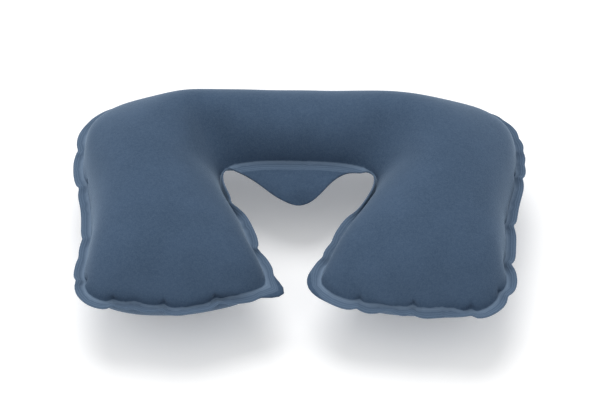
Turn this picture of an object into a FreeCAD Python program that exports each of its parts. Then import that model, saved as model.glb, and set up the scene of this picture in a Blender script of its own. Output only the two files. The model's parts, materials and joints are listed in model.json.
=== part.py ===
"""Inflatable U-shaped neck pillow: two flocked films welded edge to edge, with a push-in air valve.

The films are drawn in the weld frame: the weld lies in the plane Z = 0, the back tube runs along X at
positive Y and the two arms reach towards negative Y. The valve is drawn in a frame of its own, with +Z
along its axis, out of the pillow, and Z = 0 where the axis meets the outside of the film. Both are then
moved into the row frame, where the pillow lies on Z = 0 on two flats, one under each arm, with the
slimmer back tube clear of the ground and the origin at the middle of its footprint.
"""

import FreeCAD
import Part
import math
import os

import Sketcher
from FreeCAD import Placement, Rotation, Vector

# Driving dimensions: name, value in mm or degrees, meaning.
SIZES = [
    ("film_thick", 0.6, "one film with its flock"),
    ("edge_margin", 10, "film outside the weld, all the way round"),
    ("weld_height", 48.2, "height of the weld above the ground"),
    ("tab_side", -6, "X of the nape tab's middle"),
    ("tab_drop", 50, "length of the nape tab below the edge margin"),
    ("tab_tip", 20, "radius of the tab's tip"),
    ("tab_root", 16, "radius of the hollow corners beside the tab"),
    ("tab_slope", 60, "slope of the tab's sides, degrees"),
    ("valve_side", -34, "X of the valve's axis, on the back tube"),
    ("valve_below", 30, "valve's axis below the weld plane, degrees"),
    ("base_radius", 12.5, "weld flange of the valve, inside the film"),
    ("base_thick", 1, "thickness of that flange"),
    ("collar_radius", 9, "outside of the valve's collar"),
    ("collar_wall", 1, "wall of that collar"),
    ("collar_proud", 0.3, "collar's rim above the film"),
    ("collar_depth", 3.5, "collar's inner end below the film"),
    ("slack", 0.2, "gap between neighbours that aren't a fit"),
    ("web_depth", 10.5, "where the web meets the stem"),
    ("web_wall", 0.9, "thickness of the web, along the stem"),
    ("stem_radius", 5, "outside of the stem"),
    ("stem_bore", 3.2, "radius of the air way"),
    ("stem_top", 3.5, "top of the stem's lip below the film, pushed in"),
    ("stem_bottom", 17, "stem's inner end below the film"),
    ("lip_radius", 6, "lip of the stem"),
    ("lip_thick", 1.5, "thickness of the lip"),
    ("cap_radius", 5.7, "cap of the plug"),
    ("cap_thick", 2, "thickness of the cap"),
    ("cap_round", 0.6, "rounding of the cap's edge"),
    ("plug_radius", 3.12, "shank of the plug, a running fit in the air way"),
    ("plug_length", 8.5, "shank of the plug, below the cap"),
    ("plug_lead", 0.5, "chamfer at the shank's end"),
    ("strap_wide", 3.6, "width of the plug's strap"),
    ("strap_thick", 0.9, "thickness of the plug's strap"),
    ("strap_reach", 1.6, "how far the folded strap stands out from the lip"),
    ("flap_radius", 4.6, "non-return flap"),
    ("flap_thick", 0.6, "thickness of the flap"),
    ("ear_reach", 5, "flap's living hinge, from the valve's axis"),
    ("ear_wide", 3, "width of that hinge"),
]

# Cross sections of one side of the inflated tube, from the middle of the back to the end of the arm:
# name, inner weld point X and Y, direction from the inner to the outer weld in degrees, distance between
# the welds, height of the film above them.
STATIONS = [
    ("back_middle", 0, 62, 90, 71, 35),
    ("back_side", 46, 62, 90, 71, 35),
    ("corner_back", 58, 60, 61, 76, 37),
    ("corner_middle", 64, 56, 41, 91, 42.5),
    ("corner_side", 67, 50, 27, 106, 46),
    ("shoulder", 68, 41, 16, 109, 49),
    ("arm_upper", 66, 24, 6, 109, 50),
    ("arm_middle", 54, -8, 1, 116, 50),
    ("arm_lower", 43, -42, 0, 121, 47),
    ("arm_front", 30, -70, -3, 130, 40),
    ("arm_face", 22, -87, -6, 140, 26),
    ("arm_end", 23, -92, -7, 142, 3),
]
STATION_SIZES = ("inner_x", "inner_y", "turn", "chord", "rise")

ACROSS = 500  # longer than the pillow in every direction


class Size:
    """A number together with the expression that gives it from the spreadsheet."""

    def __init__(self, number, text):
        self.number = number
        self.text = text

    def joined(self, sign, other, number):
        return Size(number, f"({self.text} {sign} {other.text})")

    def __add__(self, other):
        return self.joined("+", other, self.number + other.number)

    def __sub__(self, other):
        return self.joined("-", other, self.number - other.number)

    def __mul__(self, other):
        return self.joined("*", other, self.number * other.number)

    def __truediv__(self, other):
        return self.joined("/", other, self.number / other.number)

    def __neg__(self):
        return Size(-self.number, f"(-1 * {self.text})")


ZERO = Size(0, "0")
ONE = Size(1, "1")
TWO = Size(2, "2")


def cell(sheet, name):
    """One driving dimension."""
    return Size(float(sheet.get(name)), f"sizes.{name}")


def root_of(size):
    return Size(math.sqrt(size.number), f"sqrt({size.text})")


def sine(angle):
    return Size(math.sin(math.radians(angle.number)), f"sin({angle.text})")


def cosine(angle):
    return Size(math.cos(math.radians(angle.number)), f"cos({angle.text})")


def make_sheet(doc):
    """The spreadsheet that holds every driving dimension."""
    sheet = doc.addObject("Spreadsheet::Sheet", "sizes")
    rows = list(SIZES)
    for name, *values in STATIONS:
        rows += [(f"{name}_{key}", value, f"{name}: {key}") for key, value in zip(STATION_SIZES, values)]
    for row, (alias, value, meaning) in enumerate(rows, start=1):
        sheet.set(f"A{row}", meaning)
        sheet.set(f"B{row}", str(value))
        sheet.setAlias(f"B{row}", alias)
    doc.recompute()
    return sheet


def make_body(doc, name):
    body = doc.addObject("PartDesign::Body", name)
    body.Label = name
    return body


def origin_part(body, role):
    return next(f for f in body.Origin.OriginFeatures if f.Role == role)


def fix(sketch, kind, *items):
    """Add a dimension to a sketch, its last item a Size, and bind it to the spreadsheet."""
    *where, size = items
    index = sketch.addConstraint(Sketcher.Constraint(kind, *where, size.number))
    sketch.renameConstraint(index, f"{kind}_{index}")
    sketch.setExpression(f"Constraints.{kind}_{index}", size.text)


def pin_corner(sketch, edge, end, x, y):
    """Hold one end of an edge at (x, y) from the sketch's origin."""
    for kind, axis, size in (("DistanceX", -2, x), ("DistanceY", -1, y)):
        if size.number:
            fix(sketch, kind, -1, 1, edge, end, size)
        else:
            sketch.addConstraint(Sketcher.Constraint("PointOnObject", edge, end, axis))


def arc_middle(start, finish, radius):
    """The middle of an arc of up to half a turn; a positive radius turns left, a negative one right."""
    half = (finish - start) / 2
    sagitta = abs(radius) - math.sqrt(max(radius**2 - half.Length**2, 0))
    right = Vector(half.y, -half.x, 0).normalize()
    return start + half + right * math.copysign(sagitta, radius)


def outline(body, name, role, corners):
    """A closed sketch on an origin plane: corners (x, y), or (x, y, radius) where an arc follows."""
    sketch = body.newObject("Sketcher::SketchObject", name)
    sketch.AttachmentSupport = [(origin_part(body, role), "")]
    sketch.MapMode = "FlatFace"
    ends = []
    for (x, y, *radius), (next_x, next_y, *_) in zip(corners, corners[1:] + corners[:1]):
        start = Vector(x.number, y.number, 0)
        finish = Vector(next_x.number, next_y.number, 0)
        if not radius:
            edge = sketch.addGeometry(Part.LineSegment(start, finish))
            ends.append((edge, 1, 2))
            continue
        middle = arc_middle(start, finish, radius[0].number)
        leftwards = radius[0].number > 0
        arc = Part.Arc(start, middle, finish) if leftwards else Part.Arc(finish, middle, start)
        edge = sketch.addGeometry(arc)
        ends.append((edge, 1, 2) if leftwards else (edge, 2, 1))
        fix(sketch, "Radius", edge, radius[0] if leftwards else -radius[0])
    for (x, y, *_), (edge, first, _last), (before, _first, last) in zip(corners, ends, ends[-1:] + ends[:-1]):
        sketch.addConstraint(Sketcher.Constraint("Coincident", before, last, edge, first))
        pin_corner(sketch, edge, first, x, y)
    return sketch


def stand_on_station(sketch, sheet, station, back=ZERO):
    """Stand a sketch of the XZ plane on a station: X from the inner weld to the outer one, Y upwards."""
    x, y = cell(sheet, f"{station}_inner_x"), cell(sheet, f"{station}_inner_y") + back
    sketch.AttachmentOffset = Placement(Vector(), Rotation(Vector(0, 1, 0), sheet.get(f"{station}_turn")))
    sketch.setExpression("AttachmentOffset.Base.x", x.text)
    sketch.setExpression("AttachmentOffset.Base.z", (-y).text)
    sketch.setExpression("AttachmentOffset.Rotation.Angle", f"sizes.{station}_turn")


def loft_both_sides(body, sections):
    """Loft through the sections of the right half, then mirror it across the middle of the back."""
    loft = body.newObject("PartDesign::AdditiveLoft", f"{body.Name}_loft")
    loft.Profile = sections[0]
    loft.Sections = sections[1:]
    loft.Ruled = True
    body.Document.recompute()
    mirror = body.newObject("PartDesign::Mirrored", f"{body.Name}_mirror")
    mirror.Originals = [loft]
    mirror.MirrorPlane = (origin_part(body, "YZ_Plane"), [""])
    body.Tip = mirror
    return body


def make_bulge(doc, sheet, name, inset):
    """Everything under the upper film: arches that stand on the weld, each an inset inside the film."""
    body = make_body(doc, name)
    sections = []
    for station, *_ in STATIONS:
        half = cell(sheet, f"{station}_chord") / TWO - inset
        rise = cell(sheet, f"{station}_rise") - inset
        radius = (half * half + rise * rise) / (TWO * rise)
        corners = [(inset, ZERO), (inset + half * TWO, ZERO, radius)]
        section = outline(body, f"{name}_{station}", "XZ_Plane", corners)
        stand_on_station(section, sheet, station, inset if station == "arm_end" else ZERO)
        sections.append(section)
    return loft_both_sides(body, sections)


def make_skirt(doc, sheet):
    """One film's flat strip across the weld, with the edge margin all the way round."""
    body = make_body(doc, "skirt")
    margin, thick = cell(sheet, "edge_margin"), cell(sheet, "film_thick")
    sections = []
    for station, back in [(station, ZERO) for station, *_ in STATIONS] + [("arm_end", -margin)]:
        far = cell(sheet, f"{station}_chord") + margin
        corners = [(-margin, ZERO), (far, ZERO), (far, thick), (-margin, thick)]
        section = outline(body, f"skirt_{len(sections)}", "XZ_Plane", corners)
        stand_on_station(section, sheet, station, back)
        sections.append(section)
    return loft_both_sides(body, sections)


def make_tab(doc, sheet):
    """The bell-shaped nape tab, from under the weld of the back tube down into the neck opening."""
    body = make_body(doc, "tab")
    drop, tip, root = (cell(sheet, f"tab_{key}") for key in ("drop", "tip", "root"))
    side, margin = cell(sheet, "tab_side"), cell(sheet, "edge_margin")
    sin, cos = sine(cell(sheet, "tab_slope")), cosine(cell(sheet, "tab_slope"))
    straight = (drop - (root + tip) * (ONE - cos)) / sin  # length of each sloping side
    tip_x, tip_y = tip * sin, drop - tip * (ONE - cos)
    root_x, root_y = tip_x + straight * cos, root * (ONE - cos)
    wide = root_x + root * sin
    edge = cell(sheet, "back_middle_inner_y") - margin
    corners = [
        (side + wide, edge, root),
        (side + root_x, edge - root_y),
        (side + tip_x, edge - tip_y, -tip),
        (side, edge - drop, -tip),
        (side - tip_x, edge - tip_y),
        (side - root_x, edge - root_y, root),
        (side - wide, edge),
        (side - wide, edge + margin),
        (side + wide, edge + margin),
    ]
    pad = body.newObject("PartDesign::Pad", "tab_pad")
    pad.Profile = outline(body, "tab_outline", "XY_Plane", corners)
    pad.setExpression("Length", "sizes.film_thick")
    return body


def make_turned(doc, name, corners):
    """A body turned round the valve's axis from half of its section."""
    body = make_body(doc, name)
    turn = body.newObject("PartDesign::Revolution", f"{name}_turn")
    turn.Profile = outline(body, f"{name}_section", "XZ_Plane", corners)
    turn.ReferenceAxis = (origin_part(body, "Z_Axis"), [""])
    turn.Angle = 360
    doc.recompute()
    return body


def combine(doc, kind, name, *parts):
    """A boolean of two or more shapes: Part::Cut, Part::Common or Part::MultiFuse."""
    result = doc.addObject(kind, name)
    result.Label = name
    if kind == "Part::MultiFuse":
        result.Shapes = list(parts)
    else:
        result.Base, result.Tool = parts
    return result


def mirror_down(doc, source, name):
    """The same film below the weld plane."""
    lower = doc.addObject("Part::Mirroring", name)
    lower.Source = source
    lower.Normal = Vector(0, 0, 1)
    return lower


def make_cylinder(doc, name, radius, length, placement):
    rod = doc.addObject("Part::Cylinder", name)
    rod.setExpression("Radius", radius.text)
    rod.Height = length
    rod.Placement = placement
    return rod


def make_ground(doc, name, height):
    """The space below a level plane, a height above the weld."""
    block = doc.addObject("Part::Box", name)
    block.Length = block.Width = block.Height = ACROSS
    block.Placement = Placement(Vector(-ACROSS / 2, -ACROSS / 2, 0), Rotation())
    block.setExpression("Placement.Base.z", f"{height.text} - {ACROSS}")
    return block


def back_tube(sheet):
    """Radius of the back tube, and the place of its axis in the weld frame."""
    half, rise = sheet.get("back_middle_chord") / 2, sheet.get("back_middle_rise")
    radius = (half**2 + rise**2) / (2 * rise)
    return radius, Vector(0, sheet.get("back_middle_inner_y") + half, rise - radius)


def valve_frame(sheet):
    """The valve's own frame in the weld frame: +Z out of the lower film, +X along the back tube."""
    radius, centre = back_tube(sheet)
    facing = Rotation(Vector(1, 0, 0), -(90 + sheet.get("valve_below")))
    # The lower film is the upper one mirrored, so its axis lies as far above the weld as the other's below.
    axis = Vector(sheet.get("valve_side"), centre.y, -centre.z)
    return Placement(axis + facing.multVec(Vector(0, 0, radius)), facing)


def make_upper(doc, sheet, outer, cavity, skirt, tab):
    """Upper film: bulge, skirt and nape tab in one sheet."""
    filled = combine(doc, "Part::MultiFuse", "upper_filled", outer, skirt, tab)
    return combine(doc, "Part::Cut", "upper_skin", filled, cavity)


def make_lower(doc, sheet, outer, cavity, skirt, tab):
    """Lower film, pressed flat where it rests, with the round hole for the valve; and its hollow."""
    ground = -cell(sheet, "weld_height")
    edges = [mirror_down(doc, source, f"lower_{source.Name}") for source in (outer, skirt, tab)]
    filled = combine(doc, "Part::MultiFuse", "lower_filled", *edges)
    rested = combine(doc, "Part::Cut", "lower_rested", filled, make_ground(doc, "ground", ground))
    floor = make_ground(doc, "film_floor", ground + cell(sheet, "film_thick"))
    hollow = combine(doc, "Part::Cut", "lower_hollow", mirror_down(doc, cavity, "lower_cavity"), floor)
    shell = combine(doc, "Part::Cut", "lower_shell", rested, hollow)
    across = cell(sheet, "collar_radius") + cell(sheet, "slack")
    depth = back_tube(sheet)[0] / 2
    through = valve_frame(sheet).multiply(Placement(Vector(0, 0, -depth), Rotation()))
    hole = make_cylinder(doc, "valve_hole", across, 2 * depth, through)
    return combine(doc, "Part::Cut", "lower_skin", shell, hole), hollow


def make_valve_base(doc, sheet, hollow):
    """Flange that is welded to the inside of the lower film, with the collar that holds the valve."""
    radius, centre = back_tube(sheet)
    frame = valve_frame(sheet)
    inner = Size(radius, repr(radius)) - cell(sheet, "film_thick") - cell(sheet, "base_thick")
    along = Placement(Vector(-ACROSS / 2, centre.y, -centre.z), Rotation(Vector(0, 1, 0), 90))
    core = make_cylinder(doc, "base_core", inner, ACROSS, along)
    sunk = frame.multiply(Placement(Vector(0, 0, -radius / 2), Rotation()))
    plug = make_cylinder(doc, "base_plug", cell(sheet, "base_radius"), radius, sunk)
    blank = combine(doc, "Part::Common", "base_blank", hollow, plug)
    dish = combine(doc, "Part::Cut", "base_dish", blank, core)
    outside, wall = cell(sheet, "collar_radius"), cell(sheet, "collar_wall")
    top, bottom = cell(sheet, "collar_proud"), -cell(sheet, "collar_depth")
    rim = [(outside - wall, bottom), (outside, bottom), (outside, top), (outside - wall, top)]
    collar = make_turned(doc, "valve_collar", rim)
    collar.Placement = frame
    bore = make_cylinder(doc, "collar_bore", outside - wall, radius, sunk)
    flange = combine(doc, "Part::Cut", "base_flange", dish, bore)
    return combine(doc, "Part::MultiFuse", "valve_base", flange, collar)


def make_web(doc, sheet):
    """Thin cone that lets the stem pop in and out of the collar."""
    outside, wall = cell(sheet, "collar_radius"), cell(sheet, "collar_wall")
    top, low = -cell(sheet, "collar_depth"), -cell(sheet, "web_depth")
    stem = cell(sheet, "stem_radius") + cell(sheet, "slack")
    return make_turned(doc, "valve_web", [
        (outside - wall, top), (stem, low + cell(sheet, "web_wall")), (stem, low), (outside, top)])


def make_stem(doc, sheet):
    """Mouthpiece: a soft tube with a lip."""
    bore, tube, lip = (cell(sheet, key) for key in ("stem_bore", "stem_radius", "lip_radius"))
    top, bottom = -cell(sheet, "stem_top"), -cell(sheet, "stem_bottom")
    under = top - cell(sheet, "lip_thick")
    return make_turned(doc, "valve_stem", [
        (bore, bottom), (tube, bottom), (tube, under), (lip, under), (lip, top), (bore, top)])


def make_plug(doc, sheet):
    """Push-in plug: a cap with a rounded edge and a shank with a lead-in chamfer."""
    cap, edge, shank = (cell(sheet, key) for key in ("cap_radius", "cap_round", "plug_radius"))
    seat, lead = -cell(sheet, "stem_top"), cell(sheet, "plug_lead")
    top, end = seat + cell(sheet, "cap_thick"), seat - cell(sheet, "plug_length")
    return make_turned(doc, "valve_plug", [
        (ZERO, end), (shank - lead, end), (shank, end + lead), (shank, seat), (cap, seat),
        (cap, top - edge, edge), (cap - edge, top), (ZERO, top)])


def make_tether(doc, sheet):
    """The strap between lip and cap, folded beside them while the plug is in."""
    body = make_body(doc, "plug_tether")
    lip, reach, thick = (cell(sheet, key) for key in ("lip_radius", "strap_reach", "strap_thick"))
    middle, inner = -cell(sheet, "stem_top"), reach - thick
    foot = thick - lip  # runs under the lip's edge before it is trimmed to it
    section = outline(body, "tether_section", "XZ_Plane", [
        (foot, middle + reach), (-lip, middle + reach, reach), (-lip - reach, middle, reach),
        (-lip, middle - reach), (foot, middle - reach), (foot, middle - inner),
        (-lip, middle - inner, -inner), (-lip - inner, middle, -inner), (-lip, middle + inner),
        (foot, middle + inner)])
    strap = body.newObject("PartDesign::Pad", "tether_strap")
    strap.Profile = section
    strap.Midplane = True
    strap.setExpression("Length", "sizes.strap_wide")
    doc.recompute()
    circle = [(lip, ZERO, lip), (ZERO, lip, lip), (-lip, ZERO, lip), (ZERO, -lip, lip)]
    trim = body.newObject("PartDesign::Pocket", "tether_trim")
    trim.Profile = outline(body, "tether_lip", "XY_Plane", circle)
    trim.Type = "ThroughAll"
    trim.Midplane = True
    return body


def make_flap(doc, sheet):
    """Non-return flap: a disc that hangs on a living hinge at the stem's inner end."""
    body = make_body(doc, "non_return_flap")
    disc, ear, reach = (cell(sheet, key) for key in ("flap_radius", "ear_wide", "ear_reach"))
    half = ear / TWO
    waist = root_of(disc * disc - half * half)
    pad = body.newObject("PartDesign::Pad", "flap_pad")
    pad.Profile = outline(body, "flap_outline", "XY_Plane", [
        (-reach, -half), (-waist, -half, disc), (disc, ZERO, disc), (-waist, half), (-reach, half)])
    pad.setExpression("Length", "sizes.flap_thick")
    return body


def row_placement(sheet, skins):
    """Lift the weld off the ground and centre the footprint of the skins on the row's origin."""
    box = Part.makeCompound([skin.Shape.copy() for skin in skins]).optimalBoundingBox(False)
    return Placement(Vector(0, -(box.YMin + box.YMax) / 2, sheet.get("weld_height")), Rotation())


def check(doc, nodes):
    """Stop if any object failed or any sub-part isn't a valid solid."""
    for thing in doc.Objects:
        if "Invalid" in thing.State or "Error" in thing.State:
            raise RuntimeError(f"{thing.Name} failed: {thing.State}")
    for node in nodes:
        if node.Shape.isNull() or not node.Shape.isValid() or not node.Shape.Solids:
            raise RuntimeError(f"{node.Label} has no valid solid")


def main():
    doc = FreeCAD.newDocument("neck_pillow")
    sheet = make_sheet(doc)
    outer = make_bulge(doc, sheet, "bulge", ZERO)
    cavity = make_bulge(doc, sheet, "cavity", cell(sheet, "film_thick"))
    skirt = make_skirt(doc, sheet)
    tab = make_tab(doc, sheet)
    upper = make_upper(doc, sheet, outer, cavity, skirt, tab)
    lower, hollow = make_lower(doc, sheet, outer, cavity, skirt, tab)
    base = make_valve_base(doc, sheet, hollow)
    turned = [make(doc, sheet) for make in (make_web, make_stem, make_plug, make_tether)]
    flap = make_flap(doc, sheet)
    doc.recompute()

    row = row_placement(sheet, (upper, lower))
    for node in (upper, lower, base):
        node.Placement = row
    valve = row.multiply(valve_frame(sheet))
    for node in turned:
        node.Placement = valve
    under_stem = -sheet.get("stem_bottom") - sheet.get("slack") / 2 - sheet.get("flap_thick")
    flap.Placement = valve.multiply(Placement(Vector(0, 0, under_stem), Rotation()))
    doc.recompute()

    nodes = [upper, lower, base, *turned, flap]
    check(doc, nodes)
    os.makedirs("parts", exist_ok=True)
    for node in nodes:
        node.Shape.exportStep(os.path.join("parts", f"{node.Label}.step"))
        print(node.Label, f"{node.Shape.Volume:.1f} mm3", len(node.Shape.Solids), "solid")


main()
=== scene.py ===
"""Looks of the inflatable neck pillow: two flocked films, cut flat, welded and blown up by cloth simulation.

Everything is in metres, in the row frame: X to the right arm, Y from the open end to the back tube, Z up.
The flat pattern lies in X and Y. It is drawn symmetric about X = 0, then its arms are leaned a little, and
its weld outline runs anticlockwise.
"""

import json
import math

import bmesh
import bpy
import numpy as np
from mathutils import Matrix, Vector
from mathutils.geometry import delaunay_2d_cdt


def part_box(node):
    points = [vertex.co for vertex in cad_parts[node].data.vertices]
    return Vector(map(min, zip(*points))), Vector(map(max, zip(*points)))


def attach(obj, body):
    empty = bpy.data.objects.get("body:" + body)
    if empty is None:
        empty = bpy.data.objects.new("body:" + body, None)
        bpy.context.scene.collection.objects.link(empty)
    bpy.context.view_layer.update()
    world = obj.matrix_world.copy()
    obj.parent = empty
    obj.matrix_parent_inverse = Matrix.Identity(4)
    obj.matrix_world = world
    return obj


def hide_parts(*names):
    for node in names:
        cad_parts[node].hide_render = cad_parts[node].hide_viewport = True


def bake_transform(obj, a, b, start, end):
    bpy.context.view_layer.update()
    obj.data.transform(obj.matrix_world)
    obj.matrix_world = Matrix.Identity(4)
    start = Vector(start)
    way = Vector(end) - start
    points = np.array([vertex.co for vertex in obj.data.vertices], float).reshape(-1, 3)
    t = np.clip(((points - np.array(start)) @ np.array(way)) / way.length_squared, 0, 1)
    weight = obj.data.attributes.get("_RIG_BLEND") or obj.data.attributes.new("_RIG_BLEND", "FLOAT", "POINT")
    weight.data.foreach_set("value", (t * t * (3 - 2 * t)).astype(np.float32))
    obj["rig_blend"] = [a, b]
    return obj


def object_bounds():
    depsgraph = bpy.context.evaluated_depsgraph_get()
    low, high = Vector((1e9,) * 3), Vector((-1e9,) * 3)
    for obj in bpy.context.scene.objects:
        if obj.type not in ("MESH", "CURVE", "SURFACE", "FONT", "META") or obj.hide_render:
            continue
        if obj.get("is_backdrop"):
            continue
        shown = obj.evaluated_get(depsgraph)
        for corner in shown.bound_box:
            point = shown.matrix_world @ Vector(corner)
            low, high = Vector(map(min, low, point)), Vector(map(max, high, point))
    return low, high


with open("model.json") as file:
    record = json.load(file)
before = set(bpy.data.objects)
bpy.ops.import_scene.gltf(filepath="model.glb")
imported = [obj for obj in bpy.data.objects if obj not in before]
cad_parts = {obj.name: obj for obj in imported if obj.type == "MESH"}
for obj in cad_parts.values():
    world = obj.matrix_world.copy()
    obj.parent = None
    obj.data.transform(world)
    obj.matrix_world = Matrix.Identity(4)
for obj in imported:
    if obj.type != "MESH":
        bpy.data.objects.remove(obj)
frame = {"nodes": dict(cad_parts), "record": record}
CAD_LOW, CAD_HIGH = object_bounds()

MM = 0.001
CUT = 0.98 * MM           # a millimetre of the pattern, cut short by what the blown-up films stretch

# Weld outline of the flat pattern's right half: corner X, corner Y, corner radius, in units of CUT.
OUTSIDE = [(81, -118, 8), (160, -125, 90), (253, -80, 36), (226, 30, 260), (215, 138, 80), (60, 137, 300)]
NOTCH = [(69, 32, 20), (67, -45, 150)]
TIP_X, ARM_END = OUTSIDE[0][0] * CUT, OUTSIDE[0][1] * CUT      # inner tip of each arm
NOTCH_X, NOTCH_Y = NOTCH[0][0] * CUT, NOTCH[0][1] * CUT
NOTCH_NEAR = 4 * MM       # how near to NOTCH_Y the weld counts as the notch's back edge
LEAN_LEFT = -1 * MM       # how far each arm's end is moved along X
LEAN_RIGHT = -8 * MM
LEAN_START = 20 * MM      # where along Y the arms begin to lean, and where they have leant all the way
LEAN_FULL = 0.8 * ARM_END

# Film, weld and margin.
FILM = 0.6 * MM           # one film with its flock
WELD_WIDE = 3.5 * MM      # band where the two films are melted together
WELD_DEEP = 0.2 * MM      # how far the weld is pressed into each film
WELD_SLOPE = 0.8 * MM     # width of the step between margin and band
WELD_INNER = (-0.6 * MM, 0.4 * MM)      # where the band rises to the bulge again
MARGIN = 9.5 * MM         # film outside the weld's inner edge
MARGIN_NOTCH = 6.5 * MM   # the same inside the notch
NARROWING = (-20 * MM, 20 * MM)         # where along Y the margin narrows to that
TIP_POINT = 8 * MM        # how much further the margin reaches at the arms' inner tips
TIP_ROUND = 9 * MM        # how far round a tip it does so

# Nape tab.
TAB_SIDE = -6 * MM        # its middle
TAB_DROP = 39.5 * MM      # how far it reaches beyond the notch's margin
TAB_WIDE = 31 * MM        # half its width
TAB_SQUARE = 2.2          # 2 gives a bell's outline, more a squarer one
TAB_CORNER = 8 * MM       # how far it stays away from the notch's corners
TAB_AREA = (75 * MM, 65 * MM)           # half the width, and the depth, of the area it is meshed in
TAB_START = (10 * MM, 16 * MM)          # how far off the weld the margin turns into the tab
TAB_SAG = 10 * MM         # how far its tip hangs down
TAB_BACK = 6 * MM         # how far that draws the tip back under the tube
TAB_LEAN = 7 * MM         # how far its end stands to the right
TAB_SPREAD = 0.1          # how much it widens when it is pulled flat

# Mesh of the simulated films.
STEP = 5.5 * MM           # triangle size
CLEAR = 0.6 * STEP        # how near a free point may come to an outline
SCATTER = 0.12 * STEP     # how far each free point is moved at random
SCATTER_SEED = 3
FINE_REACH = 9 * MM       # how far inside the weld the finished mesh is made finer

# Gathers along the weld: flat X and Y beside each, in units of CUT.
GATHERS = [
    (-134, -124), (-182, -114), (-226, -96), (-246, -56), (-240, -8), (-234, 52), (-222, 98), (-186, 130),
    (-132, 139), (-76, 139), (-24, 139), (30, 139), (82, 139), (134, 138), (180, 132), (218, 104), (232, 66),
    (238, 10), (244, -36), (250, -72), (222, -98), (172, -116), (122, -122), (69, -32), (76, -88), (-69, -24),
    (-76, -72),
]
GATHER_WIDE = 4.5 * MM    # half the width of the nick that a gather makes in the margin
GATHER_IN = 2.6 * MM      # how far the weld is drawn in there
GATHER_FOLD = 4 * MM      # how far the cut edge folds down there
PINCH_DEEP = 2.8 * MM     # crease that a gather leaves in the bulge
PINCH_LONG = 11 * MM
PINCH_WIDE = 3.4 * MM
PINCH_NARROW = 0.25       # share of that width at the crease's inner end
PINCH_START = 2 * MM      # how far from the weld it is at its full depth

# How far the weld stands forward along the arms' ends: flat X and distance, millimetres.
FRONT_SWELL = [
    (-251, 0), (-227, 1), (-204, 5), (-180, 6), (-156, 3), (-133, 3), (-109, 4), (-86, 1), (-76, 0),
    (76, 0), (84, 7), (106, 11), (128, 4), (150, 4), (173, 6), (195, 9), (217, 15), (240, 17),
]
FRONT_FROM = 0.75         # share of the arm's length beyond which it does
TIP_PULL = 0.36           # how much the left inner tip is drawn out to a point
TIP_PULL_WIDE = 4 * MM
TIP_FLANK = 10 * MM       # how far from the tip the margin is drawn in for that
TIP_FLANK_WIDE = 5 * MM
SIDE_IN = 6 * MM          # how far the weld is drawn in at the outside of each arm's root
SIDE_AT = 84 * MM         # where along Y, and how far to each side of that
SIDE_REACH = 22 * MM
LEFT_IN = 3.5 * MM        # how far the left arm's end is turned in
NECK_FRONT = -30 * MM     # where along Y the neck opening's margin begins
FOLD_DEEP = 24 * MM       # how hard the margin is folded under beside the neck
FOLD_FRONT = (-32 * MM, -22 * MM)       # where along Y that fold comes in, and where it goes out
FOLD_BACK = (24 * MM, NOTCH_Y)
FOLD_BESIDE = 5 * MM      # how far to the side of the notch it may lie

# Valve, in its own frame: Z out of the pillow, from where its axis meets the lower film.
VALVE_FLAT = np.array([-34 * MM, OUTSIDE[-1][1] * CUT - 18.6 * MM])  # its place on the flat lower film
FLAP_HINGE = Vector((-5, 0, -17.1)) * MM    # the flap's hinge in the valve's frame
HOLE_RINGS = [9.2 * MM, 11 * MM, 13 * MM]   # hole in the film, and two rings round it
HOLE_POINTS = 28                            # mesh points on each of them
TUBE_RADIUS = 35.5 * MM                     # lower side of the back tube at the valve
VALVE_REACH = 48 * MM                       # how far round the valve the film is drawn to its seat

# Web, strap and cap of the valve: radii, and heights above the film's outside, in the valve's frame.
WEB_OUTER, WEB_INNER = 8.8 * MM, 5.1 * MM
WEB_TOP, WEB_LOW, WEB_WALL = -3.6 * MM, -10.5 * MM, 0.9 * MM
WEB_EDGE = 0.1 * MM       # its wall where it meets the collar
WEB_DISH = 0.35           # how far its slope is rounded at both ends, 0 to 1
WEB_STEPS = 10
STRAP_THICK, STRAP_WIDE = 0.8 * MM, 1.6 * MM
STRAP_RADIUS, STRAP_TUCKED = 6.1 * MM, 5.2 * MM
STRAP_LOW, STRAP_HIGH = -4.3 * MM, -2.5 * MM
STRAP_START, STRAP_TURN = math.radians(180), math.radians(130)
STRAP_LEVEL, STRAP_TUCK = 0.12, 0.16        # share of it, at each end, that runs level or tucks in
STRAP_EDGE = 0.2 * MM
STRAP_STEPS = 28
CAP_RADIUS, CAP_MIDDLE = 5.55 * MM, -2.65 * MM
RIB_RADIUS, RIB_HEIGHT = 0.42 * MM, 1.1 * MM
RIB_COUNT, RIB_SIDES = 26, 8

# Simulation: Blender's cloth is steadier on a pillow ten times its size.
SIM_SCALE = 10
SIM_FRAMES = 60
START_GAP = 1 * MM        # how far each film starts from the weld plane
WELD_AIR = 0.5            # share of the bulges' pressure that the weld takes
RIPPLE = 0.3 * MM         # unevenness of the flat margin
RIPPLE_SEED = 5

# Easing after the simulation.
PUCKER_KEEP = 0.3         # share of each pucker's depth that stays
PUCKER_REACH = 22 * MM    # how far into the film a pucker is drawn out
PUCKER_SPREAD = 5         # weld points over which puckers are evened out
SHAPE_SPREAD = 3          # the same for the swell of the arms' ends and the drawn-in sides
TURN_SPREAD = 2           # the same for the way the margin points
LEVEL_SHARE = 2           # how much more the margin follows the level than the bulges beside it
MARGIN_OUT = 0.8          # how far the margin is turned straight out, 0 to 1
EASE_FREE = 14 * MM       # how far from the weld the bulges are eased freely
EASE_PULLS = (0.55, -0.57)
EASE_ROUNDS = 160
GROUND_SOFT = 0.5 * MM    # how gently the film meets the ground

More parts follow.
